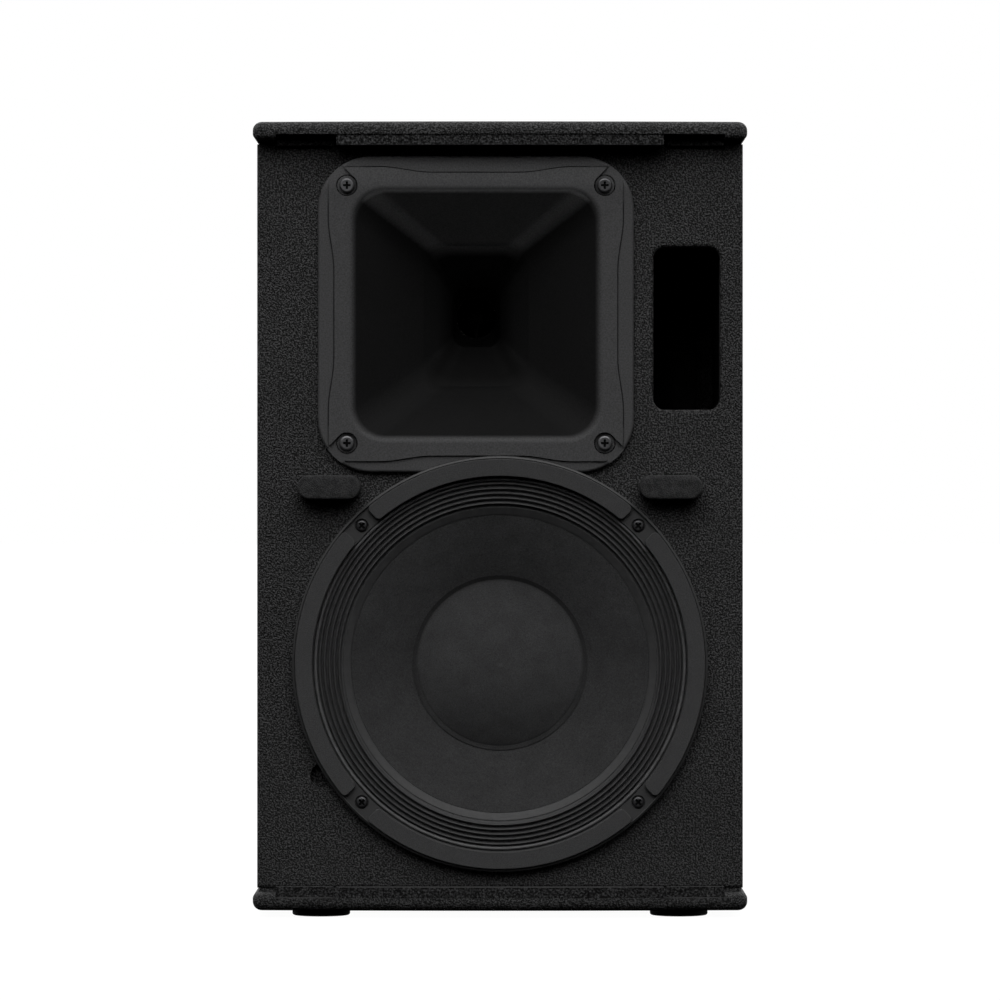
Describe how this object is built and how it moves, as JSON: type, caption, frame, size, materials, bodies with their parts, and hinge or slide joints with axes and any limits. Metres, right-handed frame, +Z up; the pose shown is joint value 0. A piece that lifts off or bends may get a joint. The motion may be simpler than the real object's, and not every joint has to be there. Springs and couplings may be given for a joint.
{
  "type": "pa speaker cabinet",
  "caption": "Two-way powered loudspeaker cabinet: cone woofer, square horn and slot port in a tapered box with overhanging end plates and a rear amplifier.",
  "frame": {"origin": "on the ground, under the middle of the overall box", "axes": "+Z up; the baffle faces -Y; +X is to the right of a listener who looks at the baffle"},
  "size_m": [0.3064, 0.309, 0.493],
  "materials": {
    "coated_plywood": "black textured hard paint on plywood",
    "bare_plywood": "sanded plywood",
    "port_plastic": "matt black",
    "rail_fabric": "black textured coat",
    "foam": "open-cell black foam",
    "rubber_foot": "matt",
    "black_screw": "black oxide",
    "socket_metal": "black powder coat",
    "handle_metal": "black powder coat",
    "insert_steel": "zinc plated",
    "horn_plastic": "satin moulded",
    "motor_steel": "zinc plated",
    "ferrite": "ground ferrite",
    "plug_plastic": "moulded",
    "titanium_foil": "thin formed foil",
    "cast_cover": "painted casting",
    "basket_metal": "black powder coat",
    "gasket_foam": "dense black foam",
    "surround_cloth": "doped cloth",
    "spider_cloth": "resin-treated weave",
    "cone_paper": "coated pulp",
    "cap_paper": "coated pulp",
    "coil_copper": "wound copper on a former",
    "panel_metal": "black powder coat",
    "heat_sink_metal": "black anodised",
    "cover_steel": "galvanised sheet",
    "circuit_board": "solder mask",
    "connector_plastic": "moulded nylon",
    "knob_plastic": "moulded",
    "light_lens": "tinted lens",
    "lead_rubber": "sheathed cable",
    "lining_felt": "needled felt"
  },
  "bodies": {
    "cabinet": {"top_plate": "coated_plywood", "bottom_plate": "coated_plywood", "left_side_panel": "coated_plywood", "right_side_panel": "coated_plywood", "left_taper_panel": "coated_plywood", "right_taper_panel": "coated_plywood", "front_baffle": "coated_plywood", "rear_panel": "coated_plywood", "inner_top_panel": "bare_plywood", "inner_bottom_panel": "bare_plywood", "middle_brace": "bare_plywood", "port_duct": "port_plastic", "grille_rails": "rail_fabric", "grille_blocks": "rail_fabric", "left_grille_pad": "foam", "right_grille_pad": "foam", "rubber_feet": "rubber_foot", "foot_screws": "black_screw", "pole_socket": "socket_metal", "pole_socket_screws": "black_screw", "side_handle": "handle_metal", "handle_screws": "black_screw", "rigging_inserts": "insert_steel", "horn": "horn_plastic", "horn_screws": "black_screw", "driver_pole_plate": "motor_steel", "driver_magnet": "ferrite", "driver_gap_plate": "motor_steel", "phase_plug": "plug_plastic", "driver_rear_cover": "cast_cover", "driver_screws": "black_screw", "woofer_basket": "basket_metal", "woofer_gaskets": "gasket_foam", "woofer_surround": "surround_cloth", "woofer_spider": "spider_cloth", "woofer_gap_plate": "motor_steel", "woofer_magnet": "ferrite", "woofer_yoke": "motor_steel", "woofer_screws": "black_screw", "amplifier_panel": "panel_metal", "heat_sink": "heat_sink_metal", "amplifier_cover": "cover_steel", "amplifier_board": "circuit_board", "input_connector_1": "connector_plastic", "input_connector_2": "connector_plastic", "link_connector": "connector_plastic", "status_lights": "light_lens", "mains_inlet": "connector_plastic", "amplifier_screws": "black_screw", "speaker_leads": "lead_rubber", "acoustic_lining": "lining_felt"},
    "cone_assembly": {"woofer_cone": "cone_paper", "dust_cap": "cap_paper", "voice_coil": "coil_copper"},
    "diaphragm": {"driver_diaphragm": "titanium_foil"},
    "knob_1": {"level_knob_1": "knob_plastic"},
    "knob_2": {"level_knob_2": "knob_plastic"},
    "switch_lever": {"contour_switch": "knob_plastic"},
    "button": {"filter_button": "knob_plastic"},
    "rocker": {"power_rocker": "knob_plastic"}
  },
  "joints": [
    {"name": "cone_travel", "type": "slide", "parent": "cabinet", "child": "cone_assembly", "axis": [0, -1, 0], "range_m": [-0.006, 0.006], "stiffness_N_per_m": 3000, "deforming": ["woofer_surround", "woofer_spider"]},
    {"name": "diaphragm_travel", "type": "slide", "parent": "cabinet", "child": "diaphragm", "axis": [0, -1, 0], "range_m": [-0.0003, 0.0003], "stiffness_N_per_m": 8000},
    {"name": "knob_1_turn", "type": "hinge", "parent": "cabinet", "child": "knob_1", "pos_m": [-0.034, 0.1415, 0.284], "axis": [0, 1, 0], "range_deg": [-150, 150]},
    {"name": "knob_2_turn", "type": "hinge", "parent": "cabinet", "child": "knob_2", "pos_m": [0.034, 0.1415, 0.284], "axis": [0, 1, 0], "range_deg": [-150, 150]},
    {"name": "switch_slide", "type": "slide", "parent": "cabinet", "child": "switch_lever", "axis": [1, 0, 0], "range_m": [0, 0.004]},
    {"name": "button_press", "type": "slide", "parent": "cabinet", "child": "button", "axis": [0, -1, 0], "range_m": [0, 0.002], "stiffness_N_per_m": 500},
    {"name": "rocker_tilt", "type": "hinge", "parent": "cabinet", "child": "rocker", "pos_m": [-0.021, 0.1395, 0.096], "axis": [1, 0, 0], "range_deg": [0, 16]}
  ]
}
